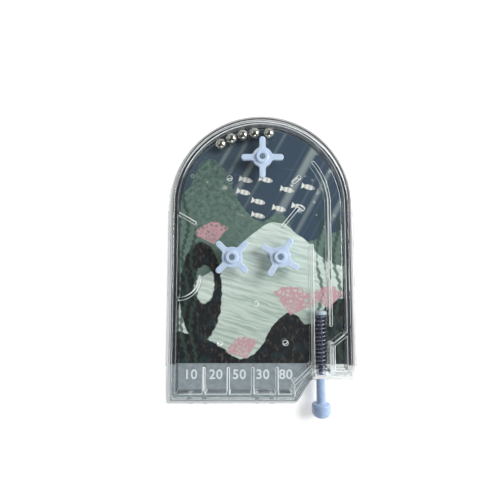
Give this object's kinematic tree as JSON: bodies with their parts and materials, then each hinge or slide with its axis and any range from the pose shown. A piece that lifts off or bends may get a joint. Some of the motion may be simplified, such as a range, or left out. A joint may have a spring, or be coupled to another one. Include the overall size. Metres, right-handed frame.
{
  "type": "hand-held pinball game",
  "caption": "Flat arched clear-cased ball game with sprung plunger, launch rail, star spinners, pins, deflectors and numbered pockets.",
  "frame": {"origin": "on the case's flat back face, at the centre of the playfield's arch", "axes": "+Y towards the top of the arch, +Z out of the window, so +X is the side of the plunger"},
  "size_m": [0.0786, 0.1257, 0.0105],
  "materials": {
    "clear_plastic": "clear polished",
    "printed_card": "printed, satin",
    "strip_card": "printed, satin",
    "blue_plastic": "moulded, light blue",
    "spring_steel": "drawn wire",
    "ball_steel": "polished ball"
  },
  "bodies": {
    "case": {"base_tray": "clear_plastic", "top_cover": "clear_plastic", "perimeter_fence": "clear_plastic", "launch_rail": "clear_plastic", "channel_wall": "clear_plastic", "lower_channel_wall": "clear_plastic", "return_ramp": "clear_plastic", "chute_wall": "clear_plastic", "pocket_dividers": "clear_plastic", "latch_ribs": "clear_plastic", "guide_pins": "clear_plastic", "spinner_posts": "clear_plastic", "upper_left_deflector": "clear_plastic", "lower_left_deflector": "clear_plastic", "right_deflector": "clear_plastic", "spring_gate": "clear_plastic", "picture_card": "printed_card", "score_strip": "strip_card", "plunger_spring": "spring_steel"},
    "plunger": {"plunger_rod": "blue_plastic", "plunger_tip": "blue_plastic"},
    "spinner_top": {"spinner_top": "blue_plastic"},
    "spinner_left": {"spinner_left": "blue_plastic"},
    "spinner_right": {"spinner_right": "blue_plastic"},
    "ball_1": {"ball_1": "ball_steel"},
    "ball_2": {"ball_2": "ball_steel"},
    "ball_3": {"ball_3": "ball_steel"},
    "ball_4": {"ball_4": "ball_steel"},
    "ball_5": {"ball_5": "ball_steel"}
  },
  "joints": [
    {"name": "plunger_pull", "type": "slide", "parent": "case", "child": "plunger", "axis": [0, -1, 0], "range_m": [0, 0.014], "stiffness_N_per_m": 120, "deforming": ["plunger_spring"]},
    {"name": "spinner_top_spin", "type": "hinge", "parent": "case", "child": "spinner_top", "pos_m": [0.0006, 0.02053, 0.00673], "axis": [0, 0, 1], "continuous": true},
    {"name": "spinner_left_spin", "type": "hinge", "parent": "case", "child": "spinner_left", "pos_m": [-0.0121, -0.0218, 0.00673], "axis": [0, 0, 1], "continuous": true},
    {"name": "spinner_right_spin", "type": "hinge", "parent": "case", "child": "spinner_right", "pos_m": [0.0079, -0.0218, 0.00673], "axis": [0, 0, 1], "continuous": true},
    {"name": "ball_1_roll", "type": "hinge", "parent": "case", "child": "ball_1", "pos_m": [0, 0, 0.00443], "axis": [0, 0, 1], "range_deg": [-81, 55]},
    {"name": "ball_2_roll", "type": "hinge", "parent": "case", "child": "ball_2", "pos_m": [0, 0, 0.00443], "axis": [0, 0, 1], "range_deg": [-81, 55]},
    {"name": "ball_3_roll", "type": "hinge", "parent": "case", "child": "ball_3", "pos_m": [0, 0, 0.00443], "axis": [0, 0, 1], "range_deg": [-81, 55]},
    {"name": "ball_4_roll", "type": "hinge", "parent": "case", "child": "ball_4", "pos_m": [0, 0, 0.00443], "axis": [0, 0, 1], "range_deg": [-81, 55]},
    {"name": "ball_5_roll", "type": "hinge", "parent": "case", "child": "ball_5", "pos_m": [0, 0, 0.00443], "axis": [0, 0, 1], "range_deg": [-81, 55]}
  ],
  "couplings": [
    {"joint": "ball_2_roll", "follows": "ball_1_roll", "ratio": 1},
    {"joint": "ball_3_roll", "follows": "ball_1_roll", "ratio": 1},
    {"joint": "ball_4_roll", "follows": "ball_1_roll", "ratio": 1},
    {"joint": "ball_5_roll", "follows": "ball_1_roll", "ratio": 1}
  ]
}
